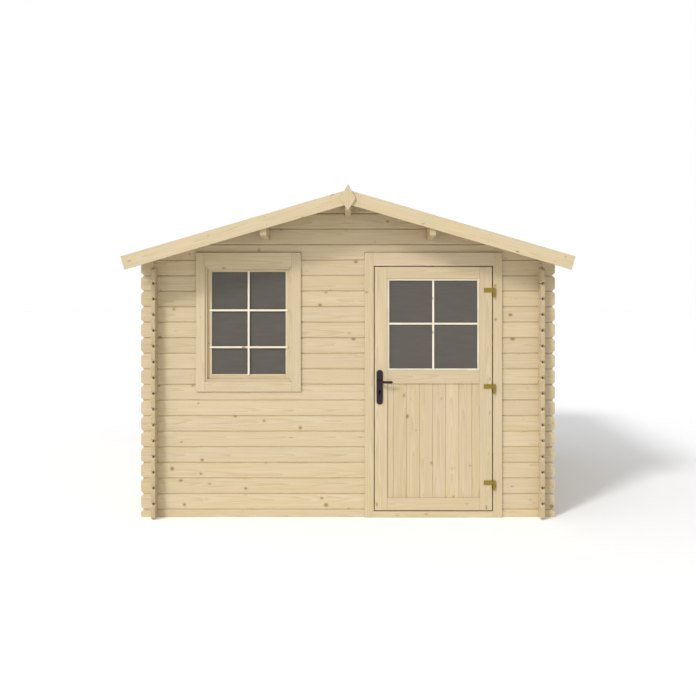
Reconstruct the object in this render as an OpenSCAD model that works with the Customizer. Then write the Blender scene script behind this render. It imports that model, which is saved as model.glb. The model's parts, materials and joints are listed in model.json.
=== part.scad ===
// Garden shed of interlocking tongue-and-groove logs under a double-pitched board roof,
// with one glazed door that opens outwards and one fixed window beside it.
// Lengths are in millimetres. The origin is on the ground at the centre of the plan:
// +X is to the right seen from the front, the front faces -Y, and +Z is up.

/* [Logs] */
// Height that each log adds to a wall
log_pitch = 113; // [104:1:122]
// Thickness of the logs
log_thickness = 28; // [26:1:44]
// Length of the logs along the front and the back
front_log_length = 3000; // [2900:10:3400]
// Length of the logs along the sides
side_log_length = 3000; // [2400:10:3600]
// Length of a log end past the wall that it crosses
log_ear = 90; // [60:5:120]
// Corner cut across the ends of the logs
ear_cut = 20; // [8:1:24]
// Bevel along the long edges of the logs
log_bevel = 7; // [3:0.5:7]
// Width of the tongue on a log
tongue_width = 10; // [7:1:11]
// Height of the tongue on a log
tongue_height = 7; // [5:1:10]
// Depth of the groove beyond the tip of the tongue
groove_spare = 2; // [1:1:8]
// Whole logs in a side wall, under its bevelled top log
side_rows = 16; // [15:1:17]

/* [Roof] */
// Slope of the roof in degrees
roof_slope = 16.3; // [13:0.1:20]
// Height of the top log at the outer face of a side wall
eave_log_height = 99; // [90:1:110]
// Thickness of the roof boards
roof_board_thickness = 19; // [16:1:28]
// Width that one roof board covers
roof_board_pitch = 95; // [80:1:140]
// Overhang of the roof boards past the front and back walls
gable_overhang = 300; // [150:5:400]
// Overhang of the roof boards past the side walls
eave_overhang = 165; // [130:5:260]
// Width of the purlins
purlin_width = 44; // [34:1:60]
// Depth of the ridge purlin at its middle
ridge_purlin_depth = 137; // [110:1:180]
// Depth of a side purlin at its middle
side_purlin_depth = 137; // [110:1:160]
// Distance of a side purlin from the ridge line
purlin_offset = 590; // [500:5:650]
// Depth of the bargeboards, square to the slope
bargeboard_depth = 96; // [80:1:140]
// Thickness of the bargeboards
bargeboard_thickness = 20; // [15:1:28]
// Rise of the bargeboards over the roof boards, square to the slope
bargeboard_rise = 5; // [0:1:15]
// Height of the diamond board on the ridge
finial_height = 187; // [140:1:240]
// Width of the diamond board
finial_width = 106; // [80:1:140]
// Thickness of the diamond board
finial_thickness = 18; // [12:1:25]
// Reach of the diamond board over the top of the bargeboards
finial_reach = 40; // [20:1:60]

/* [Frames] */
// Width of the casings beside the door and the window
casing_width = 66; // [55:1:80]
// How far the casings stand out from the logs, inside and outside
casing_proud = 15; // [12:1:22]
// Thickness of the jambs between the log ends and the opening
jamb_thickness = 24; // [18:1:32]
// Reach of the door's stops into the opening
stop_reach = 12; // [8:1:16]
// Height that the frames rise into the log over them
head_rise = 54; // [45:1:65]
// Gap left over the frames for the logs to settle
settling_gap = 3; // [2:0.5:10]

/* [Door] */
// Share of the free front that lies between the door frame and the outer face of the right wall
door_margin_share = 0.277; // [0.2:0.001:0.35]
// Width of the door frame over its casings
door_frame_width = 995; // [900:5:1010]
// Height of the door head
door_head_height = 97; // [85:1:110]
// Height of the door sill
door_sill_height = 46; // [44:1:60]
// Gap around the door leaf
door_gap = 7; // [6:0.5:10]
// Gap between the back of the leaf and its stops
door_stop_gap = 6; // [5:0.5:8]
// Width of the stiles of the leaf
stile_width = 90; // [80:1:110]
// Height of the top rail
top_rail_height = 84; // [70:1:110]
// Height of the middle rail
middle_rail_height = 93; // [70:1:120]
// Height of the bottom rail
bottom_rail_height = 90; // [70:1:140]
// Height of the middle of the middle rail over the ground
middle_rail_level = 1016; // [950:1:1080]
// Thickness of the boarded panel
panel_thickness = 16; // [12:1:20]
// Width that one panel board covers
panel_board_pitch = 95; // [70:1:120]
// Width of the panel board that shows beside the lock stile
panel_first_board = 45; // [20:1:90]
// Width of the glazing beads
bead_width = 16; // [12:1:22]

/* [Window] */
// Share of the free front that lies between the window frame and the outer face of the left wall
window_margin_share = 0.29; // [0.2:0.001:0.35]
// Width of the window frame over its casings
window_frame_width = 761; // [700:1:780]
// Height of the head of the window frame
window_head_height = 104; // [90:1:120]
// Height of the foot of the window frame
window_foot_height = 73; // [60:1:90]
// Whole logs under the window, over the half log
window_foot_rows = 8; // [6:1:10]
// Depth of the window's stop behind the face of the casings
lip_recess = 11; // [8:1:14]
// Depth of the window's stop from front to back
lip_depth = 21; // [16:1:24]
// Reach of the window's stop into the opening
lip_reach = 16; // [10:1:20]
// Thickness of the sash
sash_thickness = 24; // [20:1:26]
// Gap around the sash
sash_gap = 3; // [1:0.5:5]
// Width of the sash stiles
sash_stile_width = 44; // [38:1:60]
// Height of the top rail of the sash
sash_top_height = 34; // [30:1:60]
// Height of the bottom rail of the sash
sash_bottom_height = 48; // [38:1:70]
// Thickness of the glass
glass_thickness = 4; // [3:0.5:6]

/* [Ironmongery] */
// Radius of the hinge barrels
hinge_radius = 10; // [8:0.5:12]
// Radius of the hinge pins
hinge_pin_radius = 5; // [4:0.5:6]
// Height of each half of a hinge barrel
hinge_half_height = 33.5; // [28:0.5:45]
// Length of a hinge strap on the leaf
hinge_strap_length = 60; // [45:1:90]
// Distance of the top of the highest hinge from the top of the leaf
hinge_drop = 152; // [100:1:220]
// Height of the top of the lowest hinge over the foot of the leaf
hinge_rise = 217; // [150:1:280]
// Height of the lever over the ground
lever_level = 985; // [900:1:1050]
// Distance of the lever's axis from the edge of the leaf
lever_backset = 36; // [32:1:44]
// Length of the lever from its axis to its tip
lever_length = 92; // [80:1:120]
// Height of the lever's grip
lever_height = 17; // [14:1:20]
// Distance of the lever's axis from the keyhole under it
keyhole_drop = 75; // [60:1:92]
// Height of the handle plates
plate_height = 250; // [220:1:270]
// Width of the handle plates
plate_width = 46; // [40:1:50]
// Thickness of the handle plates
plate_thickness = 6; // [3:0.5:8]

/* [Floor] */
// Height of the floor joists
joist_height = 28; // [24:1:40]
// Width of the floor joists
joist_width = 45; // [34:1:70]
// Number of floor joists
joist_count = 5; // [4:1:7]
// Thickness of the floor boards
floor_board_thickness = 16; // [16:1:24]
// Width that one floor board covers
floor_board_pitch = 95; // [80:1:140]

/* [Hidden] */

$fn = 48;

// Colours of the finished surfaces
spruce = "#DFCDA6";
planed_spruce = "#E3D2AD";
clear_glass = "#5E5D58";
gilt_metal = "#8F7A35";
black_metal = "#2B2729";

// Clearances: seams between logs, seats of flat pieces, log ends, sliding fits and running fits
seam = 0.3;
seat = 0.2;
end_gap = 1;
slide_fit = 0.5;
running_fit = 0.08;
// Overrun of every cut past the faces that it leaves
overrun = 5;
// Depth of the grooves that hold the glass and the boarded panel
rebate = 10;
// Half width of the grooves between boards
board_bevel = 3;
// Height of the slanting cut under the purlin ends, and its distance from the wall
purlin_cut_height = 20;
purlin_cut_margin = 10;
// Height and length of the hollow round the joint in the ends of the logs, where the tongue is cut back
hollow_height = 16;
hollow_length = 45;
// Distance of the bead faces behind the faces of the leaf
bead_recess = 5;
// Thickness of the hinge straps and clearance of the barrels over the casing
strap_thickness = 3;
barrel_clear = 2;
// Distance of the hinge axis past the edge of the opening
hinge_inset = 6;
// Length of the pin, and radius and depth of the stem that is screwed into the jamb
hinge_pin_length = 29;
stem_radius = 4;
stem_depth = 26;
// Thickness of the grip, radius of its neck, reach of the grip and width of the square spindle
grip_thickness = 12;
neck_radius = 8.5;
grip_reach = 60;
spindle_width = 8;
spindle_bore_radius = 10;
// Head and slot of the keyhole
keyhole_radius = 4.5;
keyhole_slot = 4;
keyhole_length = 16;
// Distance of the lever's axis under the top of its plate
lever_plate_drop = 84;
// Share of the diamond board's height that lies over its widest place
finial_waist_share = 0.54;

// Plan of the walls: outer faces, and centre lines of the logs
wall_width = front_log_length - 2 * log_ear;
wall_depth = side_log_length - 2 * log_ear;
side_wall_x = (wall_width - log_thickness) / 2;
front_wall_y = (wall_depth - log_thickness) / 2;

// Rows: the front and back start with a half log, so their joints lie half a log higher
half_pitch = log_pitch / 2;
quarter_pitch = log_pitch / 4;
plate_z = side_rows * log_pitch;
gable_base = plate_z + half_pitch;

// Roof lines in the plane of a gable
roof_rise = tan(roof_slope);
roof_half_width = wall_width / 2 + eave_overhang;
roof_half_length = wall_depth / 2 + gable_overhang;
ridge_under = plate_z + eave_log_height + roof_rise * wall_width / 2;
ridge_top = ridge_under + roof_board_thickness / cos(roof_slope);
gable_rows = round((ridge_under - gable_base) / log_pitch);
bargeboard_top = ridge_top + bargeboard_rise / cos(roof_slope);
function roof_under(x) = ridge_under - roof_rise * abs(x);

// Faces of the front wall and of the casings on both sides of it
front_face = -wall_depth / 2;
casing_face = front_face - casing_proud;
stop_face = front_face + log_thickness;
inner_face = stop_face + casing_proud;
frame_top = gable_base + head_rise;
log_half = log_thickness / 2;
frame_half = log_half + casing_proud;

// Faces of the stops from the middle of the wall: behind the door leaf, and in front of the sash
door_stop = [log_half, frame_half];
window_stop = [lip_recess - frame_half, lip_recess + lip_depth - frame_half];

// Free front: what the two frames leave of the wall
free_front = wall_width - door_frame_width - window_frame_width;

// Door opening and leaf
door_offset = wall_width / 2 - free_front * door_margin_share - door_frame_width / 2;
door_half_clear = door_frame_width / 2 - casing_width;
door_left = door_offset - door_half_clear;
door_right = door_offset + door_half_clear;
door_clear_top = frame_top - door_head_height;
leaf_left = door_left + door_gap;
leaf_right = door_right - door_gap;
leaf_foot = door_sill_height + door_gap;
leaf_top = door_clear_top - door_gap;
leaf_thickness = log_thickness + casing_proud - door_stop_gap;
leaf_middle_y = casing_face + leaf_thickness / 2;
leaf_back = casing_face + leaf_thickness;
panel_left = leaf_left + stile_width;
panel_right = leaf_right - stile_width;
middle_rail_foot = middle_rail_level - middle_rail_height / 2;
middle_rail_top = middle_rail_level + middle_rail_height / 2;
light_top = leaf_top - top_rail_height;
bottom_rail_top = leaf_foot + bottom_rail_height;

// Window opening and sash
window_x = free_front * window_margin_share + window_frame_width / 2 - wall_width / 2;
window_half_clear = window_frame_width / 2 - casing_width;
window_seat = window_foot_rows * log_pitch + half_pitch;
window_clear_foot = window_seat + jamb_thickness;
window_foot = window_clear_foot - window_foot_height;
window_clear_top = frame_top - window_head_height;
sash_half = window_half_clear - sash_gap;
sash_foot = window_clear_foot + sash_gap;
sash_top = window_clear_top - sash_gap;
sash_face = casing_face + lip_recess + lip_depth + seat;
sash_light_half = sash_half - sash_stile_width;
sash_light_foot = sash_foot + sash_bottom_height;
sash_light_top = sash_top - sash_top_height;
sash_middle_y = sash_face + sash_thickness / 2;

// Hinge and lever axes
hinge_x = door_right + hinge_inset;
hinge_y = casing_face - barrel_clear - hinge_radius;
hinge_tops = [
    leaf_top - hinge_drop,
    (leaf_top - hinge_drop + leaf_foot + hinge_rise) / 2,
    leaf_foot + hinge_rise
];
lever_x = leaf_left + lever_backset;
plate_top = lever_level + lever_plate_drop;

// Floor between the inner casings
floor_half_width = wall_width / 2 - log_thickness - casing_proud - seat;
floor_half_depth = wall_depth / 2 - log_thickness - casing_proud - seat;

// Cross-section of a log: half logs lack the lower half, and top logs have no tongue
function log_foot() =
    let(half = tongue_width / 2 + slide_fit, deep = tongue_height + groove_spare)
    [
        [log_half, log_bevel], [log_half - log_bevel, 0],
        [half, 0], [half, deep], [-half, deep], [-half, 0],
        [log_bevel - log_half, 0], [-log_half, log_bevel]
    ];
function log_head() =
    let(top = log_pitch - seam, half = tongue_width / 2)
    [
        [-log_half, top - log_bevel], [log_bevel - log_half, top],
        [-half, top], [-half, top + tongue_height], [half, top + tongue_height], [half, top],
        [log_half - log_bevel, top], [log_half, top - log_bevel]
    ];
function whole_log() = concat(log_foot(), log_head());
function half_log() = concat([[log_half, half_pitch], [-log_half, half_pitch]], log_head());
function top_log(height) = concat(log_foot(), [[-log_half, height], [log_half, height]]);

// Side view of a crossing log: cut ends, and notches a quarter deep where it meets the other wall
function log_side(length, crossing) =
    let(
        high = log_pitch - seam + tongue_height,
        run = ear_cut + tongue_height,
        low_notch = quarter_pitch + seam / 2,
        high_notch = log_pitch - quarter_pitch - seam / 2,
        near = crossing - log_half - end_gap / 2,
        far = crossing + log_half + end_gap / 2
    )
    [
        [-length / 2, ear_cut], [ear_cut - length / 2, 0],
        [-far, 0], [-far, low_notch], [-near, low_notch], [-near, 0],
        [near, 0], [near, low_notch], [far, low_notch], [far, 0],
        [length / 2 - ear_cut, 0], [length / 2, ear_cut],
        [length / 2, log_pitch - seam - ear_cut], [length / 2 - run, high],
        [far, high], [far, high_notch], [near, high_notch], [near, high],
        [-near, high], [-near, high_notch], [-far, high_notch], [-far, high],
        [run - length / 2, high], [-length / 2, log_pitch - seam - ear_cut]
    ];

// Grooved underside or face of a row of boards, as points from end to end after the first board
function board_grooves(length, first, pitch, level, dip) =
    [
        for (at = [first - length / 2 : pitch : length / 2])
            if (at + board_bevel < length / 2)
                each [[at - board_bevel, level], [at, level + dip], [at + board_bevel, level]]
    ];

// Prism along +X from x0 to x1 of an outline in Y and Z
module along_x(x0, x1, outline) {
    translate([x0, 0, 0])
        rotate([90, 0, 90])
            linear_extrude(height = x1 - x0)
                polygon(outline);
}

// Prism along +Y from y0 to y1 of an outline in X and Z
module along_y(y0, y1, outline) {
    translate([0, y1, 0])
        rotate([90, 0, 0])
            linear_extrude(height = y1 - y0)
                polygon(outline);
}

// Prism along +Z from z0 to z1 of an outline in X and Y
module along_z(z0, z1, outline) {
    translate([0, 0, z0])
        linear_extrude(height = z1 - z0)
            polygon(outline);
}

// Box between two corners
module box(low, high) {
    translate(low)
        cube(high - low);
}

// Hollows in both ends of a log that lies along X: each log holds the halves over and under it
module end_hollows(length) {
    half = log_half - log_bevel - slide_fit;
    deep = hollow_height / 2;
    top = log_pitch - seam;
    for (side = [0, 1], level = [[-overrun, deep], [top - deep, top + tongue_height + overrun]])
        mirror([side, 0, 0])
            box([length / 2 - hollow_length, -half, level[0]], [length / 2 + overrun, half, level[1]]);
}

// Piece of a front or back log from x0 to x1, in row 0 (the half log) or a higher row
module front_log(row, x0, x1, y) {
    translate([0, y, row * log_pitch - half_pitch])
        difference() {
            intersection() {
                along_x(x0, x1, row == 0 ? half_log() : whole_log());
                along_y(-log_thickness, log_thickness, log_side(front_log_length, side_wall_x));
            }
            end_hollows(front_log_length);
        }
}

// Log of a right-hand side wall
module side_log(row) {
    translate([side_wall_x, 0, row * log_pitch])
        difference() {
            intersection() {
                along_y(-side_log_length / 2, side_log_length / 2, whole_log());
                along_x(-log_thickness, log_thickness, log_side(side_log_length, front_wall_y));
            }
            rotate([0, 0, 90])
                end_hollows(side_log_length);
        }
}

// Bevelled top log of a right-hand side wall: it ends flush with the front and back walls
module eave_log() {
    lap = quarter_pitch + seam / 2;
    end = wall_depth / 2;
    lap_end = end - log_thickness - end_gap;
    high = log_pitch + eave_log_height;
    outer = eave_log_height - seat;
    inner = eave_log_height + roof_rise * log_thickness - seat;
    translate([side_wall_x, 0, plate_z])
        intersection() {
            along_y(-end, end, concat(log_foot(), [[-log_half, inner], [log_half, outer]]));
            along_x(-log_thickness, log_thickness, [
                [-end, lap], [-lap_end, lap], [-lap_end, 0], [lap_end, 0], [lap_end, lap], [end, lap],
                [end, high], [-end, high]
            ]);
        }
}

module side_wall() {
    for (row = [0 : side_rows - 1])
        side_log(row);
    eave_log();
}

// Room that a frame takes in the front wall: the opening, and the wider notch for its head
module frame_room(x, half_clear, seat_z) {
    near = front_face - overrun;
    far = stop_face + overrun;
    half_rough = half_clear + jamb_thickness + end_gap;
    half_frame = half_clear + casing_width + end_gap;
    notch_foot = gable_base - seam;
    box([x - half_rough, near, seat_z], [x + half_rough, far, gable_base + overrun]);
    box([x - half_frame, near, notch_foot], [x + half_frame, far, frame_top + settling_gap]);
}

// Room for both frames in the logs of the front
module frame_rooms() {
    frame_room(window_x, window_half_clear, window_seat - seam / 2);
    frame_room(door_offset, door_half_clear, -overrun);
}

// Logs of the front wall from x0 to x1, cut out for the frames
module front_wall(x0, x1) {
    difference() {
        for (row = [0 : side_rows])
            front_log(row, x0, x1, -front_wall_y);
        frame_rooms();
    }
}

// Room for the three purlins in a gable, from their undersides up
module purlin_room(y) {
    half = purlin_width / 2 + slide_fit;
    near = y - log_thickness;
    far = y + log_thickness;
    for (side = [-1, 0, 1])
        let(
            x = side * purlin_offset,
            depth = side == 0 ? ridge_purlin_depth : side_purlin_depth,
            foot = roof_under(x) - depth - seat
        )
        box([x - half, near, foot], [x + half, far, ridge_top]);
}

// Logs of a gable, cut to the slope of the roof between the side walls
module gable(y) {
    reach = wall_width / 2 - log_thickness - end_gap;
    top = ridge_under - seat;
    shoulder = roof_under(reach) - seat;
    difference() {
        for (i = [0 : gable_rows - 1])
            translate([0, y, 0])
                intersection() {
                    translate([0, 0, gable_base + i * log_pitch])
                        along_x(-reach, reach, i < gable_rows - 1 ? whole_log() : top_log(2 * log_pitch));
                    along_y(-log_thickness, log_thickness, [
                        [-reach, gable_base], [reach, gable_base],
                        [reach, shoulder], [0, top], [-reach, shoulder]
                    ]);
                }
        purlin_room(y);
    }
}

// Purlin with a given outline across, cut up at a slant under both ends
module purlin(outline, foot) {
    end = roof_half_length;
    slant = end - gable_overhang + purlin_cut_margin;
    high = ridge_top;
    intersection() {
        along_y(-end, end, outline);
        along_x(-roof_half_width, roof_half_width, [
            [-slant, foot], [slant, foot], [end, foot + purlin_cut_height],
            [end, high], [-end, high], [-end, foot + purlin_cut_height]
        ]);
    }
}

// Right-hand slope of the roof: boards from the ridge to the eave, with grooves under their joints
module roof_slope_boards() {
    length = 2 * roof_half_length;
    half = roof_half_length;
    low = -roof_board_thickness;
    difference() {
        translate([0, 0, ridge_top])
            rotate([0, roof_slope, 0])
                along_x(0, roof_half_width / cos(roof_slope), concat(
                    [[-half, 0], [-half, low]],
                    board_grooves(length, roof_board_pitch, roof_board_pitch, low, board_bevel),
                    [[half, low], [half, 0]]
                ));
        box(
            [-roof_board_thickness - overrun, -half - overrun, ridge_under - roof_board_thickness],
            [0, half + overrun, ridge_top + overrun]
        );
    }
}

// Right-hand bargeboard, from the ridge to the eave, with its outer end cut square
module bargeboard(y0, y1) {
    eave_top = bargeboard_top - roof_rise * roof_half_width;
    along_y(y0, y1, [
        [0, bargeboard_top],
        [roof_half_width, eave_top],
        [
            roof_half_width - bargeboard_depth * sin(roof_slope),
            eave_top - bargeboard_depth * cos(roof_slope)
        ],
        [0, bargeboard_top - bargeboard_depth / cos(roof_slope)]
    ]);
}

// Diamond board over the joint of two bargeboards
module finial(y0, y1) {
    top = bargeboard_top + finial_reach;
    half = finial_width / 2;
    waist = top - finial_height * finial_waist_share;
    along_y(y0, y1, [[0, top], [half, waist], [0, top - finial_height], [-half, waist]]);
}

// Plan of the jamb at the left of an opening: it clasps the log ends
function jamb_plan() = [
    [-casing_width, -frame_half], [0, -frame_half], [0, frame_half],
    [-casing_width, frame_half], [-casing_width, log_half + slide_fit],
    [-jamb_thickness, log_half + slide_fit], [-jamb_thickness, -log_half - slide_fit],
    [-casing_width, -log_half - slide_fit]
];

// Jamb from its foot to the top of the frame, closed where it stands in the log over the opening
module jamb(foot) {
    along_z(foot, frame_top, jamb_plan());
    box([-casing_width, -frame_half, gable_base + seat], [0, frame_half, frame_top]);
}

// Both jambs of an opening, with their stops between the rails
module jamb_pair(x, half_clear, foot, stop, reach, low, high) {
    for (side = [0, 1])
        translate([x, -front_wall_y, 0])
            mirror([side, 0, 0])
                translate([-half_clear, 0, 0]) {
                    jamb(foot);
                    box([0, stop[0], low + seam], [reach, stop[1], high - seam]);
                }
}

// Stop on a rail, between the stops of the jambs
module rail_stop(x, half_clear, stop, reach, foot) {
    half = half_clear - reach - seam;
    box(
        [x - half, stop[0] - front_wall_y, foot],
        [x + half, stop[1] - front_wall_y, foot + reach]
    );
}

// Head of a frame between its jambs, with its stop
module frame_head(x, half_clear, foot, stop, reach) {
    box([x - half_clear, casing_face, foot], [x + half_clear, inner_face, frame_top]);
    rail_stop(x, half_clear, stop, reach, foot - reach);
}

// Four beads round the light of the leaf, on one side of the glass
module bead_frame(y0, y1) {
    box([panel_left, y0, middle_rail_top], [panel_left + bead_width, y1, light_top]);
    box([panel_right - bead_width, y0, middle_rail_top], [panel_right, y1, light_top]);
    inner_left = panel_left + bead_width + seam;
    inner_right = panel_right - bead_width - seam;
    box([inner_left, y0, middle_rail_top], [inner_right, y1, middle_rail_top + bead_width]);
    box([inner_left, y0, light_top - bead_width], [inner_right, y1, light_top]);
}

// Grooves that run round the light and the panel of the leaf
module leaf_grooves() {
    glass_half = glass_thickness / 2 + seat;
    panel_half = panel_thickness / 2 + seat;
    box(
        [panel_left - rebate, leaf_middle_y - glass_half, middle_rail_top - rebate],
        [panel_right + rebate, leaf_middle_y + glass_half, light_top + rebate]
    );
    box(
        [panel_left - rebate, leaf_middle_y - panel_half, bottom_rail_top - rebate],
        [panel_right + rebate, leaf_middle_y + panel_half, middle_rail_foot + rebate]
    );
}

// Handle plate with round ends and holes for the lever's neck and the key
module handle_plate(y0, y1) {
    radius = plate_width / 2;
    low = plate_top - plate_height + radius;
    high = plate_top - radius;
    key_z = lever_level - keyhole_drop;
    difference() {
        union() {
            box([lever_x - radius, y0, low], [lever_x + radius, y1, high]);
            for (z = [low, high])
                translate([lever_x, y1, z])
                    rotate([90, 0, 0])
                        cylinder(h = y1 - y0, r = radius);
        }
        translate([lever_x, y1 + overrun, lever_level])
            rotate([90, 0, 0])
                cylinder(h = y1 - y0 + 2 * overrun, r = neck_radius + slide_fit);
        translate([lever_x, y1 + overrun, key_z])
            rotate([90, 0, 0])
                cylinder(h = y1 - y0 + 2 * overrun, r = keyhole_radius);
        box(
            [lever_x - keyhole_slot / 2, y0 - overrun, key_z - keyhole_length],
            [lever_x + keyhole_slot / 2, y1 + overrun, key_z]
        );
    }
}

// Outside half of the lever: neck, grip and round tip, drawn outwards from the face of the leaf
module lever_grip() {
    half = lever_height / 2;
    grip_back = grip_thickness - grip_reach;
    rotate([90, 0, 0])
        translate([0, 0, seat])
            cylinder(h = grip_reach - seat, r = neck_radius);
    box([0, -grip_reach, -half], [lever_length - half, grip_back, half]);
    translate([lever_length - half, grip_back, 0])
        rotate([90, 0, 0])
            cylinder(h = grip_thickness, r = half);
}

module floor_joists() {
    step = (2 * floor_half_width - joist_width) / (joist_count - 1);
    color(spruce)
        for (i = [0 : joist_count - 1])
            let(x = i * step - floor_half_width)
            box([x, -floor_half_depth, 0], [x + joist_width, floor_half_depth, joist_height]);
}

module floor_boards() {
    low = joist_height;
    top = joist_height + floor_board_thickness;
    half = floor_half_depth;
    color(planed_spruce)
        along_x(-floor_half_width, floor_half_width, concat(
            [[half, low], [-half, low]],
            [[-half, top]],
            board_grooves(2 * half, floor_board_pitch, floor_board_pitch, top, -board_bevel),
            [[half, top]]
        ));
}

module front_wall_left() {
    color(spruce)
        front_wall(-front_log_length / 2, door_offset);
}

module front_wall_right() {
    color(spruce)
        front_wall(door_offset, front_log_length / 2);
}

module left_wall() {
    color(spruce)
        mirror([1, 0, 0])
            side_wall();
}

module right_wall() {
    color(spruce)
        side_wall();
}

module back_wall() {
    color(spruce)
        for (row = [0 : side_rows])
            front_log(row, -front_log_length / 2, front_log_length / 2, front_wall_y);
}

module front_gable() {
    color(spruce)
        difference() {
            gable(-front_wall_y);
            frame_rooms();
        }
}

module back_gable() {
    color(spruce)
        gable(front_wall_y);
}

module ridge_purlin() {
    half = purlin_width / 2;
    foot = ridge_under - ridge_purlin_depth;
    color(spruce)
        purlin([
            [-half, foot], [half, foot], [half, roof_under(half) - seat],
            [0, ridge_under - seat], [-half, roof_under(half) - seat]
        ], foot);
}

module side_purlins() {
    half = purlin_width / 2;
    near = purlin_offset - half;
    far = purlin_offset + half;
    foot = roof_under(purlin_offset) - side_purlin_depth;
    color(spruce)
        for (side = [0, 1])
            mirror([side, 0, 0])
                purlin([
                    [near, foot], [far, foot], [far, roof_under(far) - seat], [near, roof_under(near) - seat]
                ], foot);
}

module roof_left() {
    color(planed_spruce)
        mirror([1, 0, 0])
            roof_slope_boards();
}

module roof_right() {
    color(planed_spruce)
        roof_slope_boards();
}

module front_bargeboard_left() {
    color(planed_spruce)
        mirror([1, 0, 0])
            bargeboard(-roof_half_length - bargeboard_thickness, -roof_half_length);
}

module front_bargeboard_right() {
    color(planed_spruce)
        bargeboard(-roof_half_length - bargeboard_thickness, -roof_half_length);
}

module back_bargeboard_left() {
    color(planed_spruce)
        mirror([1, 0, 0])
            bargeboard(roof_half_length, roof_half_length + bargeboard_thickness);
}

module back_bargeboard_right() {
    color(planed_spruce)
        bargeboard(roof_half_length, roof_half_length + bargeboard_thickness);
}

module front_finial() {
    face = -roof_half_length - bargeboard_thickness;
    color(planed_spruce)
        finial(face - finial_thickness, face);
}

module back_finial() {
    face = roof_half_length + bargeboard_thickness;
    color(planed_spruce)
        finial(face, face + finial_thickness);
}

module door_jambs() {
    bore = stem_radius + running_fit;
    color(planed_spruce)
        difference() {
            jamb_pair(
                door_offset, door_half_clear, 0, door_stop, stop_reach, door_sill_height, door_clear_top
            );
            for (top = hinge_tops)
                translate([hinge_x, casing_face + stem_depth + seat, top - hinge_half_height * 3 / 2])
                    rotate([90, 0, 0])
                        cylinder(h = stem_depth + overrun, r = bore);
        }
}

module door_head() {
    color(planed_spruce)
        frame_head(door_offset, door_half_clear, door_clear_top, door_stop, stop_reach);
}

module door_sill() {
    color(planed_spruce) {
        box([door_left, casing_face, 0], [door_right, inner_face, door_sill_height]);
        rail_stop(door_offset, door_half_clear, door_stop, stop_reach, door_sill_height);
    }
}

module hinge_pintles() {
    color(gilt_metal)
        for (top = hinge_tops)
            translate([hinge_x, hinge_y, top - 2 * hinge_half_height]) {
                cylinder(h = hinge_half_height - seat, r = hinge_radius);
                cylinder(h = hinge_half_height + hinge_pin_length, r = hinge_pin_radius);
                translate([0, casing_face - hinge_y + stem_depth, hinge_half_height / 2])
                    rotate([90, 0, 0])
                        cylinder(h = casing_face - hinge_y + stem_depth, r = stem_radius);
            }
}

module window_jambs() {
    color(planed_spruce)
        difference() {
            jamb_pair(
                window_x, window_half_clear, window_foot, window_stop, lip_reach,
                window_clear_foot, window_clear_top
            );
            box(
                [window_x - window_frame_width, front_face - slide_fit, window_foot - overrun],
                [window_x + window_frame_width, stop_face + slide_fit, window_seat + seat]
            );
        }
}

// Foot of the window frame: it stands astride the log under it, with its stop in front of the sash
module window_foot_rail() {
    log_room = log_half + slide_fit;
    top = window_clear_foot;
    translate([0, -front_wall_y, 0])
        along_x(window_x - window_half_clear, window_x + window_half_clear, [
            [-frame_half, window_foot], [-log_room, window_foot], [-log_room, window_seat + seat],
            [log_room, window_seat + seat], [log_room, window_foot], [frame_half, window_foot],
            [frame_half, top], [-frame_half, top]
        ]);
    rail_stop(window_x, window_half_clear, window_stop, lip_reach, top);
}

module window_rails() {
    color(planed_spruce) {
        frame_head(window_x, window_half_clear, window_clear_top, window_stop, lip_reach);
        window_foot_rail();
    }
}

// Groove round the light of the sash
module sash_groove() {
    half = glass_thickness / 2 + seat;
    box(
        [window_x - sash_light_half - rebate, sash_middle_y - half, sash_light_foot - rebate],
        [window_x + sash_light_half + rebate, sash_middle_y + half, sash_light_top + rebate]
    );
}

module sash_stiles() {
    color(planed_spruce)
        difference() {
            for (side = [-1, 1])
                let(x = window_x + side * (sash_half - sash_stile_width / 2), half = sash_stile_width / 2)
                box([x - half, sash_face, sash_foot], [x + half, sash_face + sash_thickness, sash_top]);
            sash_groove();
        }
}

module sash_rails() {
    left = window_x - sash_light_half;
    right = window_x + sash_light_half;
    back = sash_face + sash_thickness;
    color(planed_spruce)
        difference() {
            union() {
                box([left, sash_face, sash_foot], [right, back, sash_light_foot]);
                box([left, sash_face, sash_light_top], [right, back, sash_top]);
            }
            sash_groove();
        }
}

module window_glass() {
    reach = rebate - slide_fit;
    half = glass_thickness / 2;
    color(clear_glass)
        box(
            [window_x - sash_light_half - reach, sash_middle_y - half, sash_light_foot - reach],
            [window_x + sash_light_half + reach, sash_middle_y + half, sash_light_top + reach]
        );
}

module lock_stile() {
    color(planed_spruce)
        difference() {
            box([leaf_left, casing_face, leaf_foot], [panel_left, leaf_back, leaf_top]);
            leaf_grooves();
            translate([lever_x, leaf_back + overrun, lever_level])
                rotate([90, 0, 0])
                    cylinder(h = leaf_thickness + 2 * overrun, r = spindle_bore_radius);
        }
}

module hinge_stile() {
    color(planed_spruce)
        difference() {
            box([panel_right, casing_face, leaf_foot], [leaf_right, leaf_back, leaf_top]);
            leaf_grooves();
        }
}

module door_rails() {
    levels = [[leaf_foot, bottom_rail_top], [middle_rail_foot, middle_rail_top], [light_top, leaf_top]];
    color(planed_spruce)
        difference() {
            for (level = levels)
                box([panel_left, casing_face, level[0]], [panel_right, leaf_back, level[1]]);
            leaf_grooves();
        }
}

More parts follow.
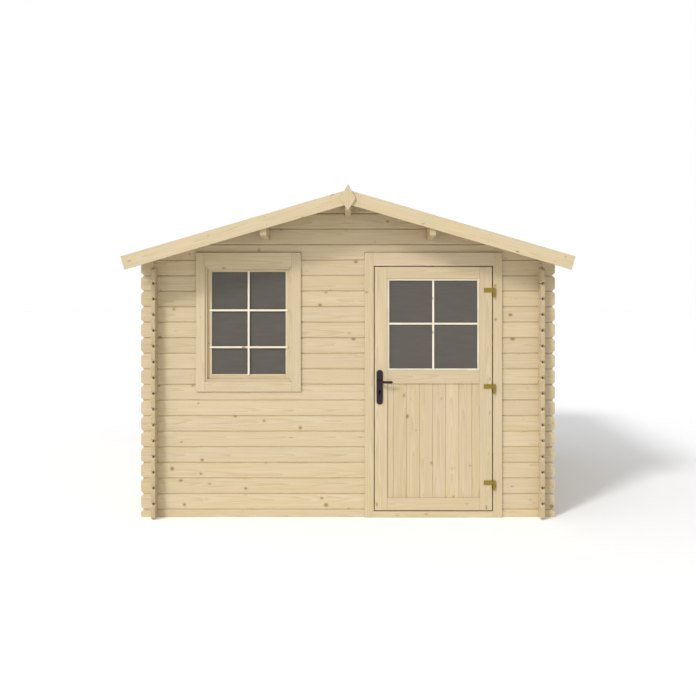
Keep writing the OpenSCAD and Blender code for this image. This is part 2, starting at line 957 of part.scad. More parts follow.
module door_panel() {
    half = panel_thickness / 2;
    reach = rebate - slide_fit;
    width = panel_right - panel_left + 2 * reach;
    first = panel_first_board + reach;
    front = board_grooves(width, first, panel_board_pitch, -half, board_bevel);
    back = board_grooves(width, first, panel_board_pitch, half, -board_bevel);
    color(planed_spruce)
        translate([(panel_left + panel_right) / 2, leaf_middle_y, 0])
            along_z(bottom_rail_top - reach, middle_rail_foot + reach, concat(
                [[-width / 2, -half]], front, [[width / 2, -half], [width / 2, half]],
                [for (i = [len(back) - 1 : -1 : 0]) back[i]],
                [[-width / 2, half]]
            ));
}

module door_glass() {
    reach = rebate - slide_fit;
    half = glass_thickness / 2;
    color(clear_glass)
        box(
            [panel_left - reach, leaf_middle_y - half, middle_rail_top - reach],
            [panel_right + reach, leaf_middle_y + half, light_top + reach]
        );
}

module door_beads() {
    glass_face = glass_thickness / 2 + seat;
    color(planed_spruce) {
        bead_frame(casing_face + bead_recess, leaf_middle_y - glass_face);
        bead_frame(leaf_middle_y + glass_face, leaf_back - bead_recess);
    }
}

module hinge_straps() {
    arm_back = casing_face - barrel_clear;
    color(gilt_metal)
        for (top = hinge_tops)
            let(foot = top - hinge_half_height)
            difference() {
                union() {
                    translate([hinge_x, hinge_y, foot])
                        cylinder(h = hinge_half_height, r = hinge_radius);
                    box(
                        [leaf_right - hinge_strap_length, casing_face - strap_thickness, foot],
                        [leaf_right, casing_face, top]
                    );
                    box(
                        [leaf_right - strap_thickness, arm_back - strap_thickness, foot],
                        [hinge_x, arm_back, top]
                    );
                }
                translate([hinge_x, hinge_y, foot - overrun])
                    cylinder(h = hinge_pin_length + slide_fit + overrun, r = hinge_pin_radius + running_fit);
            }
}

module outside_plate() {
    color(black_metal)
        handle_plate(casing_face - plate_thickness, casing_face);
}

module inside_plate() {
    color(black_metal)
        handle_plate(leaf_back, leaf_back + plate_thickness);
}

module lever() {
    half = spindle_width / 2;
    color(black_metal)
        translate([lever_x, 0, lever_level]) {
            translate([0, casing_face, 0])
                lever_grip();
            translate([0, leaf_back, 0])
                mirror([0, 1, 0])
                    lever_grip();
            box([-half, casing_face - plate_thickness, -half], [half, leaf_back + plate_thickness, half]);
        }
}

floor_joists();
floor_boards();
front_wall_left();
front_wall_right();
left_wall();
right_wall();
back_wall();
front_gable();
back_gable();
ridge_purlin();
side_purlins();
roof_left();
roof_right();
front_bargeboard_left();
front_bargeboard_right();
back_bargeboard_left();
back_bargeboard_right();
front_finial();
back_finial();
door_jambs();
door_head();
door_sill();
hinge_pintles();
window_jambs();
window_rails();
sash_stiles();
sash_rails();
window_glass();
lock_stile();
hinge_stile();
door_rails();
door_panel();
door_glass();
door_beads();
hinge_straps();
outside_plate();
inside_plate();
lever();
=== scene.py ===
"""Looks of a garden shed of interlocking spruce logs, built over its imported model.

Every wooden piece copies its node and rounds the planed edges. Each log or board also keeps the place
of its points in the trunk that it was sawn from, and the spruce draws its growth rings, knots and end
grain from that place. Lengths are in metres.
"""

import json
import math
import random

import bmesh
import bpy
from bpy.props import FloatProperty, FloatVectorProperty, PointerProperty
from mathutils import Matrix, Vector

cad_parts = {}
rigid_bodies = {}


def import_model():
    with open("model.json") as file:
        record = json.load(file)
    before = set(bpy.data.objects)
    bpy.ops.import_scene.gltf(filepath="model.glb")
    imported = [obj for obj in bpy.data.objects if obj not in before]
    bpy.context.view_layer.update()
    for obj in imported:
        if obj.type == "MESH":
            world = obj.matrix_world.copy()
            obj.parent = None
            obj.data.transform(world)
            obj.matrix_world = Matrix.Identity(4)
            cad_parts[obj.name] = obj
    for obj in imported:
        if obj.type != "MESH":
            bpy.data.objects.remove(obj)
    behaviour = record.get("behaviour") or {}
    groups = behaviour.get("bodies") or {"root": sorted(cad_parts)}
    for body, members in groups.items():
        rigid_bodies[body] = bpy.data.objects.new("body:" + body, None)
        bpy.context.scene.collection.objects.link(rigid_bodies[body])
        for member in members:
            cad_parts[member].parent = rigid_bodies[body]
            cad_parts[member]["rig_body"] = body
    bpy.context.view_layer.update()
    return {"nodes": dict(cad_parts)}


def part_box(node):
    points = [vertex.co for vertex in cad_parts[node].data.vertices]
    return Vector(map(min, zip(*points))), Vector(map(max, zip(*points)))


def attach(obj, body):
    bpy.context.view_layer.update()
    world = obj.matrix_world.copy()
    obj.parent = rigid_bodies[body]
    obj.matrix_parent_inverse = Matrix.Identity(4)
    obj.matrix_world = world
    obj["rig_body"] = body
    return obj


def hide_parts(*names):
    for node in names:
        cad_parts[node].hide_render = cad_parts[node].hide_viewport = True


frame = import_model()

bl_info = {
    "name": "Garden Shed",
    "version": (1, 0, 0),
    "blender": (4, 5, 0),
    "location": "View3D > Sidebar > Shed",
    "description": "Builds the wood, glass and ironmongery of a log shed over its packed model",
    "category": "Object",
}

MM = 0.001

# Axes of the shed
RIGHT = Vector((1, 0, 0))
INWARD = Vector((0, 1, 0))
UP = Vector((0, 0, 1))

# Points of one solid that lie closer than this are one point
WELD = 0.01 * MM
# Faces that turn less than this are one flat face
FLAT_ANGLE = math.radians(0.5)
# Edges that turn more than this are rounded, and more than the next one are shaded sharp
ARRIS_ANGLE = math.radians(30)
SHARP_ANGLE = math.radians(50)
# Room that a rounded edge needs on the faces beside it, as a share of its width
ROOM_SHARE = 2.2
# A face whose normal leans this far along a direction looks that way
FACING = 0.75
# A direction that leans this far upward counts as upright
UPRIGHT = 0.9
# Edges whose lengths are the same to this many digits of a metre count as equal
LENGTH_DIGITS = 5
# Straight steps in a rounded edge
WOOD_STEPS = 2
METAL_STEPS = 3
GLASS_STEPS = 1

# How far the glass reaches into its grooves, and the rounding of its edges as a share of that of the wood
GLASS_REBATE = 9.5 * MM
GLASS_ARRIS_SHARE = 0.5
# Heights of the window's two cross bars, and of the door's one, as shares of their lights
WINDOW_BAR_SHARES = (0.2635, 0.6245)
DOOR_BAR_SHARES = (0.509,)

# Sockets of the colour form of the Mix node
MIX_A, MIX_B, MIX_RESULT = 6, 7, 2


def linear(code):
    """Linear RGBA of an sRGB hex colour."""
    channels = [int(code[i : i + 2], 16) / 255 for i in (1, 3, 5)]
    return [c / 12.92 if c <= 0.04045 else ((c + 0.055) / 1.055) ** 2.4 for c in channels] + [1.0]


def length(label, text, millimetres):
    """A length that a user can change, in metres, with its default given in millimetres."""
    return FloatProperty(
        name=label, description=text, default=millimetres * MM, min=0, precision=4, unit="LENGTH"
    )


def colour(label, text, code):
    """A colour that a user can change, with its default given as an sRGB hex value."""
    return FloatVectorProperty(
        name=label, description=text, default=linear(code), size=4, min=0, max=1, subtype="COLOR"
    )


class ShedSizes(bpy.types.PropertyGroup):
    """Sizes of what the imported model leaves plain."""

    arris: length("Arris", "Rounding along the planed edges of the wood", 1.2)
    joint_arris: length("Frame arris", "Rounding along the edges of window and leaf pieces", 2)
    panel_arris: length("Panel arris", "Rounding along the edges of the panel's boards", 0.4)
    panel_joint: length("Panel joint", "Gap between two boards of the panel", 0.3)
    metal_arris: length("Metal edge", "Rounding along the edges of the ironmongery", 1.1)
    board_pitch: length("Board width", "Width that one roof, floor or panel board covers", 95)
    board_joint: length("Board joint", "Gap between two roof or floor boards", 1.4)
    board_arris: length("Board arris", "Rounding along the edges of roof and floor boards", 2)
    panel_first_board: length("First panel board", "Panel board that shows beside the lock stile", 45)
    bar_width: length("Glazing bar", "Width of the bars over the panes", 14.5)
    bar_depth: length("Bar depth", "Depth of a glazing bar from back to front", 10)
    bar_round: length("Bar rounding", "Rounding along the front edges of a glazing bar", 4)
    bar_lap: length("Bar lap", "How far the window's cross bars lie over the sash", 17)
    ring: length("Growth ring", "Width of one year's growth in the spruce", 4.5)
    knot_spacing: length("Knot spacing", "Mean distance between two branches of the trunk", 190)
    nail_radius: length("Nail head", "Radius of the nail heads", 2.6)
    screw_radius: length("Screw head", "Radius of the screw heads", 4)


class ShedColours(bpy.types.PropertyGroup):
    """Colours of the finishes."""

    early: colour("Early wood", "Pale wood that grows in spring", "#CEBEA0")
    late: colour("Late wood", "Darker line that closes each year", "#BAA585")
    bar_early: colour("Bar wood", "Early wood of the paler glazing bars", "#E8DFCF")
    bar_late: colour("Bar lines", "Late wood of the paler glazing bars", "#CEC3AE")
    knot: colour("Knot", "Wood of a branch cut across", "#927A54")
    knot_edge: colour("Knot edge", "Bark ring round a branch", "#826A46")
    # Grey of the panes: painted shade of the dark room behind the clear glass
    glass: colour("Glass", "Tint of the panes", "#69645B")
    gilt: colour("Hinges", "Yellow zinc plating", "#9F8A3B")
    black: colour("Handle", "Black coating of the handle", "#271C23")
    steel: colour("Nails", "Bare zinc on nail heads", "#9A948A")
    lock: colour("Lock", "Oiled steel of the lock cylinder", "#1A1413")


def add(tree, kind, inputs=None, **settings):
    """Adds a node with its settings, and feeds its sockets with values or with other sockets."""
    node = tree.nodes.new(kind)
    for name, value in settings.items():
        setattr(node, name, value)
    for socket, value in (inputs or {}).items():
        if isinstance(value, bpy.types.NodeSocket):
            tree.links.new(value, node.inputs[socket])
        else:
            node.inputs[socket].default_value = value
    return node


def blank_material(name):
    """An empty node material of that name, with its node tree."""
    material = bpy.data.materials.new(name)
    material.use_nodes = True
    material.node_tree.nodes.clear()
    return material, material.node_tree


# Spruce, planed and left bare: pale straw wood with soft darker growth lines that flow round small light
# brown knots, and a dull finish. Each log or board is a little pinker, yellower or darker than the next.
TRUNK_RADIUS = 80 * MM
TRUNK_TAPER = 0.011
# Length along the grain, width across it and detail of three noises: the wandering trunk, patches of colour,
# and fibres, which are drawn wider than real ones, so that they show from afar
WANDER = (700 * MM, 60 * MM, 2.0)
PATCH = (380 * MM, 55 * MM, 1.0)
STREAK = (420 * MM, 8 * MM, 3.0)
WANDER_DEPTH = 16 * MM
STREAK_SHARE = 0.6
LATE_POWER = 2.5
PATCH_SPREAD = (0.36, 0.64)
PATCH_SHARE = 0.55
KNOT_RADII = (-11 * MM, 10 * MM)
KNOT_STRETCH = 1.3
KNOT_SOFT = 3.5 * MM
KNOT_COVER = 0.85
KNOT_HALO = 11 * MM
KNOT_FLOW = 9 * MM
KNOT_FLOW_REACH = 24 * MM
YELLOW_TINT = "#FAFBEE"
SHADE_TINT = "#F7F7F7"
HALO_TINT = "#E9DFD2"
END_TINT = "#ECE9E3"
SPRUCE_ROUGHNESS = (0.52, 0.72)
SPRUCE_RELIEF = 0.5 * MM
SPRUCE_RELIEF_SHARE = 0.25
SPRUCE_IOR = 1.5
SPRUCE_GLOSS = 0.35


def planed_spruce(name, sizes, colours, pale_tone, line_tone, figure):
    """Spruce whose lines come from where each point lay in the trunk. figure is their strength."""
    material, tree = blank_material(name)
    grain = add(tree, "ShaderNodeAttribute", attribute_name="grain").outputs["Vector"]
    tint = add(tree, "ShaderNodeAttribute", attribute_name="tint").outputs["Vector"]
    end = add(tree, "ShaderNodeAttribute", attribute_name="end_grain").outputs["Fac"]
    place = add(tree, "ShaderNodeSeparateXYZ", {"Vector": grain}).outputs
    board = add(tree, "ShaderNodeSeparateXYZ", {"Vector": tint}).outputs

    # Noises that are long along the grain
    wander, patch, streak = (
        add(
            tree, "ShaderNodeTexNoise",
            {
                "Vector": add(
                    tree, "ShaderNodeVectorMath", {0: grain, 1: (1 / long, 1 / wide, 1 / wide)},
                    operation="MULTIPLY",
                ).outputs[0],
                "Scale": 1.0, "Detail": detail,
            },
        ).outputs[0]
        for long, wide, detail in (WANDER, PATCH, STREAK)
    )

    # Branches: one cell of the trunk's skin holds at most one, and a random value sets its size
    cell = sizes.knot_spacing
    around = add(tree, "ShaderNodeMath", {0: place["Y"], 1: place["Z"]}, operation="ARCTAN2").outputs[0]
    arc = add(tree, "ShaderNodeMath", {0: around, 1: TRUNK_RADIUS / cell}, operation="MULTIPLY").outputs[0]
    run = add(
        tree, "ShaderNodeMath", {0: place["X"], 1: 1 / (cell * KNOT_STRETCH)}, operation="MULTIPLY"
    ).outputs[0]
    skin = add(tree, "ShaderNodeCombineXYZ", {"X": run, "Y": arc}).outputs[0]
    branch = add(tree, "ShaderNodeTexVoronoi", {"Vector": skin, "Scale": 1.0}, voronoi_dimensions="2D")
    chance = add(tree, "ShaderNodeSeparateColor", {"Color": branch.outputs["Color"]}).outputs["Red"]
    low, high = (radius / cell for radius in KNOT_RADII)
    radius = add(tree, "ShaderNodeMapRange", {"Value": chance, "To Min": low, "To Max": high}).outputs[0]
    away = add(
        tree, "ShaderNodeMath", {0: branch.outputs["Distance"], 1: radius}, operation="SUBTRACT"
    ).outputs[0]
    soft = KNOT_SOFT / cell
    knot, heart, halo, flow = (
        add(
            tree, "ShaderNodeMapRange",
            {"Value": away, "From Min": outer, "From Max": inner, "To Max": most},
            interpolation_type="SMOOTHSTEP",
        ).outputs[0]
        for outer, inner, most in (
            (soft, -soft, KNOT_COVER),
            (-soft, -2 * soft, KNOT_COVER),
            (KNOT_HALO / cell, 0.0, 1.0),
            (KNOT_FLOW_REACH / cell, 0.0, KNOT_FLOW),
        )
    )

    # Growth rings round the pith: pale at first, then darker up to a sharp edge
    across = add(tree, "ShaderNodeVectorMath", {0: grain, 1: (0, 1, 1)}, operation="MULTIPLY").outputs[0]
    ring = add(tree, "ShaderNodeVectorMath", {0: across}, operation="LENGTH").outputs["Value"]
    for source, weight in ((place["X"], TRUNK_TAPER), (wander, WANDER_DEPTH), (flow, 1.0)):
        ring = add(
            tree, "ShaderNodeMath", {0: source, 1: weight, 2: ring}, operation="MULTIPLY_ADD"
        ).outputs[0]
    year = add(tree, "ShaderNodeMath", {0: ring, 1: 1 / sizes.ring}, operation="MULTIPLY").outputs[0]
    season = add(tree, "ShaderNodeMath", {0: year}, operation="FRACT").outputs[0]
    late = add(tree, "ShaderNodeMath", {0: season, 1: LATE_POWER}, operation="POWER").outputs[0]
    line = add(tree, "ShaderNodeMath", {0: late, 1: streak}, operation="MULTIPLY").outputs[0]
    dark = add(
        tree, "ShaderNodeMath", {0: streak, 1: STREAK_SHARE, 2: line}, operation="MULTIPLY_ADD"
    ).outputs[0]
    dark = add(tree, "ShaderNodeMath", {0: dark, 1: figure}, operation="MULTIPLY", use_clamp=True).outputs[0]

    # Yellower patches, in a board that may be yellower as a whole
    patchy = add(
        tree, "ShaderNodeMapRange",
        {"Value": patch, "From Min": PATCH_SPREAD[0], "From Max": PATCH_SPREAD[1], "To Max": PATCH_SHARE},
    ).outputs[0]
    yellow = add(
        tree, "ShaderNodeMath", {0: board["X"], 1: 1 - PATCH_SHARE, 2: patchy}, operation="MULTIPLY_ADD"
    ).outputs[0]

    # Colour: wood, then knots with their darker edge, then end grain and the tint of the board
    shown = list(pale_tone)
    for factor, layer, way in (
        (dark, list(line_tone), "MIX"),
        (halo, linear(HALO_TINT), "MULTIPLY"),
        (knot, list(colours.knot_edge), "MIX"),
        (heart, list(colours.knot), "MIX"),
        (end, linear(END_TINT), "MULTIPLY"),
        (yellow, linear(YELLOW_TINT), "MULTIPLY"),
        (board["Y"], linear(SHADE_TINT), "MULTIPLY"),
    ):
        shown = add(
            tree, "ShaderNodeMix", {0: factor, MIX_A: shown, MIX_B: layer}, data_type="RGBA", blend_type=way
        ).outputs[MIX_RESULT]

    low, high = SPRUCE_ROUGHNESS
    dull = add(tree, "ShaderNodeMapRange", {"Value": streak, "To Min": low, "To Max": high}).outputs[0]
    relief = add(
        tree, "ShaderNodeBump",
        {"Height": dark, "Strength": SPRUCE_RELIEF_SHARE, "Distance": SPRUCE_RELIEF},
    ).outputs[0]
    surface = add(
        tree, "ShaderNodeBsdfPrincipled",
        {
            "Base Color": shown, "Roughness": dull, "Normal": relief, "IOR": SPRUCE_IOR,
            "Specular IOR Level": SPRUCE_GLOSS,
        },
    )
    add(tree, "ShaderNodeOutputMaterial", {"Surface": surface.outputs[0]})
    return material


# Float glass, drawn off in flat sheets: smooth, with faint lines along the draw. Its grey base colour is
# painted shade: it stands for the dark room seen through clear glass.
# The lines are coarser and stronger than real ones, so that they show.
DRAW_LENGTH = 140 * MM
DRAW_WIDTH = 22 * MM
DRAW_DETAIL = 3.0
DRAW_SHADE = 0.72
DRAW_RELIEF = 0.3 * MM
DRAW_RELIEF_SHARE = 0.1
GLASS_ROUGHNESS = 0.03
GLASS_IOR = 1.45
GLASS_CLEARNESS = 0.35


def float_glass(name, colours):
    """Glass whose tint and surface waver a little along the draw of the sheet."""
    material, tree = blank_material(name)
    seat = add(tree, "ShaderNodeTexCoord").outputs["Object"]
    drawn = add(
        tree, "ShaderNodeVectorMath", {0: seat, 1: (1 / DRAW_LENGTH, 1 / DRAW_LENGTH, 1 / DRAW_WIDTH)},
        operation="MULTIPLY",
    ).outputs[0]
    band = add(tree, "ShaderNodeTexNoise", {"Vector": drawn, "Scale": 1.0, "Detail": DRAW_DETAIL}).outputs[0]
    # The grey of the panes is painted shade of the dark room behind them; the draw lines make it a little
    # darker
    shade = [DRAW_SHADE * channel for channel in colours.glass[:3]] + [1.0]
    tone = add(
        tree, "ShaderNodeMix", {0: band, MIX_A: list(colours.glass), MIX_B: shade}, data_type="RGBA"
    ).outputs[MIX_RESULT]
    wave = add(
        tree, "ShaderNodeBump", {"Height": band, "Strength": DRAW_RELIEF_SHARE, "Distance": DRAW_RELIEF}
    ).outputs[0]
    surface = add(
        tree, "ShaderNodeBsdfPrincipled",
        {
            "Base Color": tone, "Roughness": GLASS_ROUGHNESS, "IOR": GLASS_IOR,
            "Transmission Weight": GLASS_CLEARNESS, "Normal": wave,
        },
    )
    add(tree, "ShaderNodeOutputMaterial", {"Surface": surface.outputs[0]})
    return material


# Small steel parts, tumbled in a barrel and then plated with zinc or only oiled: a soft metal shine that
# clouds over a few millimetres
CLOUD_SIZE = 12 * MM
CLOUD_DETAIL = 3.0
SHEEN_SWING = 0.08


def tumbled_steel(name, tone, cloud_tone, roughness):
    """Steel whose colour and shine change from cloud to cloud."""
    material, tree = blank_material(name)
    seat = add(tree, "ShaderNodeTexCoord").outputs["Object"]
    cloud = add(
        tree, "ShaderNodeTexNoise", {"Vector": seat, "Scale": 1 / CLOUD_SIZE, "Detail": CLOUD_DETAIL}
    ).outputs[0]
    mottle = add(
        tree, "ShaderNodeMix", {0: cloud, MIX_A: tone, MIX_B: cloud_tone}, data_type="RGBA"
    ).outputs[MIX_RESULT]
    sheen = add(
        tree, "ShaderNodeMapRange",
        {"Value": cloud, "To Min": roughness - SHEEN_SWING, "To Max": roughness + SHEEN_SWING},
    ).outputs[0]
    surface = add(
        tree, "ShaderNodeBsdfPrincipled", {"Base Color": mottle, "Roughness": sheen, "Metallic": 1.0}
    )
    add(tree, "ShaderNodeOutputMaterial", {"Surface": surface.outputs[0]})
    return material


# Black powder coat, baked on: a satin skin with the fine ripple of fused powder
RIPPLE_SIZE = 1.5 * MM
RIPPLE_DETAIL = 2.0
RIPPLE_RELIEF = 0.2 * MM
RIPPLE_RELIEF_SHARE = 0.2
COAT_ROUGHNESS = (0.38, 0.5)
COAT_IOR = 1.5
COAT_GLOSS = 0.25


def powder_coat(name, colours):
    """A coat whose ripple shows in its shine and its surface."""
    material, tree = blank_material(name)
    seat = add(tree, "ShaderNodeTexCoord").outputs["Object"]
    ripple = add(
        tree, "ShaderNodeTexNoise", {"Vector": seat, "Scale": 1 / RIPPLE_SIZE, "Detail": RIPPLE_DETAIL}
    ).outputs[0]
    low, high = COAT_ROUGHNESS
    satin = add(tree, "ShaderNodeMapRange", {"Value": ripple, "To Min": low, "To Max": high}).outputs[0]
    relief = add(
        tree, "ShaderNodeBump",
        {"Height": ripple, "Strength": RIPPLE_RELIEF_SHARE, "Distance": RIPPLE_RELIEF},
    ).outputs[0]
    surface = add(
        tree, "ShaderNodeBsdfPrincipled",
        {
            "Base Color": list(colours.black), "Roughness": satin, "Normal": relief, "IOR": COAT_IOR,
            "Specular IOR Level": COAT_GLOSS,
        },
    )
    add(tree, "ShaderNodeOutputMaterial", {"Surface": surface.outputs[0]})
    return material


# Names of the materials that aren't spruce
FINISH_NAMES = {
    "clear_glass": "float_glass",
    "black_metal": "black_powder_coat",
    "gilt_metal": "yellow_zinc",
    "oiled_steel": "oiled_steel",
    "steel": "bright_zinc",
}
# Name of the colour of each finish of steel, the colour of its clouds, and its roughness
STEEL_FINISHES = {
    "gilt_metal": ("gilt", "#8A7A3A", 0.42),
    "oiled_steel": ("lock", "#0E0A0A", 0.6),
    "steel": ("steel", "#77736C", 0.45),
}
# Strength of the figure in each finish of spruce, and the names of its two colours
SPRUCE_FINISHES = {
    "log_spruce": (1.15, "early", "late"),
    "trim_spruce": (1.05, "early", "late"),
    "roof_spruce": (1.0, "early", "late"),
    "floor_spruce": (1.1, "early", "late"),
    "door_spruce": (1.3, "early", "late"),
    "bead_spruce": (2.2, "bar_early", "bar_late"),
    "bar_spruce": (0.5, "bar_early", "bar_late"),
}


def finish_of(context, slot):
    """The material of a slot, made when it is first asked for."""
    sizes, colours = context.scene.shed_sizes, context.scene.shed_colours
    name = FINISH_NAMES.get(slot, f"planed_{slot}")
    if name in bpy.data.materials:
        return bpy.data.materials[name]
    if slot in SPRUCE_FINISHES:
        figure, early, late = SPRUCE_FINISHES[slot]
        return planed_spruce(name, sizes, colours, getattr(colours, early), getattr(colours, late), figure)
    if slot in STEEL_FINISHES:
        tone, cloud_tone, roughness = STEEL_FINISHES[slot]
        return tumbled_steel(name, list(getattr(colours, tone)), linear(cloud_tone), roughness)
    if slot == "clear_glass":
        return float_glass(name, colours)
    if slot == "black_metal":
        return powder_coat(name, colours)
    raise ValueError(f"no finish is made for the slot {slot}")


def heading(edge):
    """Direction of an edge."""
    return (edge.verts[1].co - edge.verts[0].co).normalized()


def longest(edges):
    """The longest of some edges, or the first of those that are equal."""
    return max(edges, key=lambda edge: round(edge.calc_length(), LENGTH_DIGITS))


def reach(verts, axis):
    """Lowest and highest place of some points along an axis."""
    places = [vert.co.dot(axis) for vert in verts]
    return min(places), max(places)


def mesh_of(name, bm):
    """The mesh of a solid that isn't needed any more."""
    mesh = bpy.data.meshes.new(name)
    bm.to_mesh(mesh)
    bm.free()
    return mesh


def put_in_scene(name, data):
    """A new object in the scene."""
    obj = bpy.data.objects.new(name, data)
    bpy.context.scene.collection.objects.link(obj)
    return obj


def node_mesh(node):
    """A node's solids as a mesh of flat faces, with the points of neighbouring faces joined."""
    bm = bmesh.new()
    bm.from_mesh(frame["nodes"][node].data)
    bmesh.ops.remove_doubles(bm, verts=bm.verts, dist=WELD)
    bmesh.ops.dissolve_limit(bm, angle_limit=FLAT_ANGLE, verts=bm.verts, edges=bm.edges)
    bm.verts.index_update()
    return bm


def solids_of(bm):
    """Splits a mesh into its separate solids, in the order of their faces."""
    solids = []
    for face in bm.faces:
        face.tag = False
    for first in bm.faces:
        if first.tag:
            continue
        first.tag = True
        group = [first]
        for face in group:
            for other in (near for edge in face.edges for near in edge.link_faces):
                if not other.tag:
                    other.tag = True
                    group.append(other)
        solid = bmesh.new()
        points = {}
        for face in group:
            for vert in face.verts:
                if vert.index not in points:
                    points[vert.index] = solid.verts.new(vert.co)
            solid.faces.new([points[vert.index] for vert in face.verts])
        solids.append(solid)
    return solids


def boards_of(bm, axis, start, pitch, joint):
    """Cuts a boarded slab into its boards, with a narrow joint between them, from start along axis."""
    far = reach(bm.verts, axis)[1]
    joints = []
    while start < far - joint:
        joints.append(start)
        start += pitch
    boards = []
    for low, high in zip([None] + joints, joints + [None]):
        board = bm.copy()
        planes = []
        if low is not None:
            planes.append((low + joint / 2, -axis))
        if high is not None:
            planes.append((high - joint / 2, axis))
        for at, outward in planes:
            cut = bmesh.ops.bisect_plane(
                board, geom=board.verts[:] + board.edges[:] + board.faces[:],
                plane_co=axis * at, plane_no=outward, clear_outer=True,
            )
            rim = [item for item in cut["geom_cut"] if isinstance(item, bmesh.types.BMEdge)]
            bmesh.ops.edgeloop_fill(board, edges=rim)
        boards.append(board)
    return boards


def has_room(edge, width):
    """Whether an edge, the faces beside it and the edges that it ends on are large enough for rounding."""
    if edge.calc_length() < ROOM_SHARE * width:
        return False
    start, along = edge.verts[0].co, heading(edge)
    for face in edge.link_faces:
        seats = [vert.co - start for vert in face.verts]
        if max((seat - along * seat.dot(along)).length for seat in seats) < ROOM_SHARE * width:
            return False
    for vert in edge.verts:
        for other in vert.link_edges:
            turns = abs(heading(other).dot(along)) < math.cos(ARRIS_ANGLE)
            if turns and other.calc_length() < ROOM_SHARE * width:
                return False
    return True


def round_edges(bm, width, segments):
    """Rounds the convex edges of a solid, where there is room for it."""
    bm.normal_update()
    edges = [
        edge for edge in bm.edges
        if len(edge.link_faces) == 2 and edge.is_convex and edge.calc_face_angle() > ARRIS_ANGLE
        and has_room(edge, width)
    ]
    bmesh.ops.bevel(
        bm, geom=edges, offset=width, offset_type="OFFSET", segments=segments, profile=0.5,
        affect="EDGES", clamp_overlap=False, loop_slide=True,
    )


def grain_axes(bm, grain):
    """Directions along the grain, and across it in the wide and the thin way of a board."""
    if grain is None:
        grain = heading(longest(bm.edges))
    wide = UP if abs(grain.dot(UP)) < UPRIGHT else RIGHT
    thin = grain.cross(wide).normalized()
    wide = thin.cross(grain)
    width, thickness = (high - low for low, high in (reach(bm.verts, axis) for axis in (wide, thin)))
    if width < thickness:
        wide, thin = thin, wide
    return grain, wide, thin


# Where boards are sawn from the trunk: the pith lies behind one of the wide faces
PITH_BESIDE = 35 * MM
PITH_BEHIND = (35 * MM, 80 * MM)
TRUNK_LENGTH = 18.0


def show(name, mesh, finish):
    """A shown object of a mesh, with smooth edges and flat faces."""
    mesh.shade_smooth()
    mesh.set_sharp_from_angle(angle=SHARP_ANGLE)
    mesh.materials.append(finish)
    obj = put_in_scene(name, mesh)
    normals = obj.modifiers.new("flat faces", "WEIGHTED_NORMAL")
    normals.keep_sharp = True
    return obj


def timber(context, name, solids, slot, grain=None, arris=None):
    """A piece of one or more logs or boards, each sawn from a trunk of its own."""
    draw = random.Random(name)
    arris = context.scene.shed_sizes.arris if arris is None else arris
    points, faces, places, tints, ends = [], [], [], [], []
    for solid in solids:
        along, wide, thin = grain_axes(solid, grain)
        round_edges(solid, arris, WOOD_STEPS)
        solid.normal_update()
        solid.verts.index_update()
        first = len(points)
        centre = sum((vert.co for vert in solid.verts), Vector()) / len(solid.verts)
        start = draw.uniform(0, TRUNK_LENGTH)
        beside = draw.uniform(-PITH_BESIDE, PITH_BESIDE)
        behind = draw.uniform(*PITH_BEHIND) * draw.choice((-1, 1))
        tint = (draw.random(), draw.random(), 0.0)
        for vert in solid.verts:
            seat = vert.co - centre
            points.append(vert.co.to_tuple())
            places += (seat.dot(along) + start, seat.dot(wide) + beside, seat.dot(thin) + behind)
            tints += tint
        for face in solid.faces:
            faces.append([first + vert.index for vert in face.verts])
            ends.append(float(abs(face.normal.dot(along)) > FACING))
        solid.free()
    mesh = bpy.data.meshes.new(name)
    mesh.from_pydata(points, [], faces)
    mesh.attributes.new("grain", "FLOAT_VECTOR", "POINT").data.foreach_set("vector", places)
    mesh.attributes.new("tint", "FLOAT_VECTOR", "POINT").data.foreach_set("vector", tints)
    mesh.attributes.new("end_grain", "FLOAT", "FACE").data.foreach_set("value", ends)
    return show(name, mesh, finish_of(context, slot))


def add_to(obj, body):
    """The object is a piece of a body."""
    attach(obj, body)


def stand_for(obj, node):
    """The object takes the place of a node, on the node's body."""
    add_to(obj, frame["nodes"][node]["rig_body"])
    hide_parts(node)


def dress_timber(context, node, ending, slot, solids=None, grain=None, arris=None):
    """Builds the wooden piece that stands for a node."""
    solids = solids or solids_of(node_mesh(node))
    stand_for(timber(context, f"{node}_{ending}", solids, slot, grain, arris), node)


class SHED_OT_logs(bpy.types.Operator):
    """Logs of the walls and the gables"""

    bl_idname = "shed.logs"
    bl_label = "Log Walls"

    def execute(self, context):
        for node in (
            "front_wall_left", "front_wall_right", "left_wall", "right_wall", "back_wall",
            "front_gable", "back_gable",
        ):
            dress_timber(context, node, "logs", "log_spruce")
        return {"FINISHED"}


class SHED_OT_roof(bpy.types.Operator):
    """Purlins, roof boards, bargeboards and diamond boards"""

    bl_idname = "shed.roof"
    bl_label = "Roof"

    def execute(self, context):
        sizes = context.scene.shed_sizes
        dress_timber(context, "ridge_purlin", "beam", "log_spruce")
        dress_timber(context, "side_purlins", "beams", "log_spruce")
        for side in ("left", "right"):
            node = f"roof_{side}"
            slab = node_mesh(node)
            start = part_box(node)[0].y + sizes.board_pitch
            boards = boards_of(slab, INWARD, start, sizes.board_pitch, sizes.board_joint)
            dress_timber(context, node, "boards", "roof_spruce", boards, arris=sizes.board_arris)
            for end in ("front", "back"):
                dress_timber(context, f"{end}_bargeboard_{side}", "board", "trim_spruce")
        for end in ("front", "back"):
            dress_timber(context, f"{end}_finial", "wood", "trim_spruce", grain=UP)
        return {"FINISHED"}


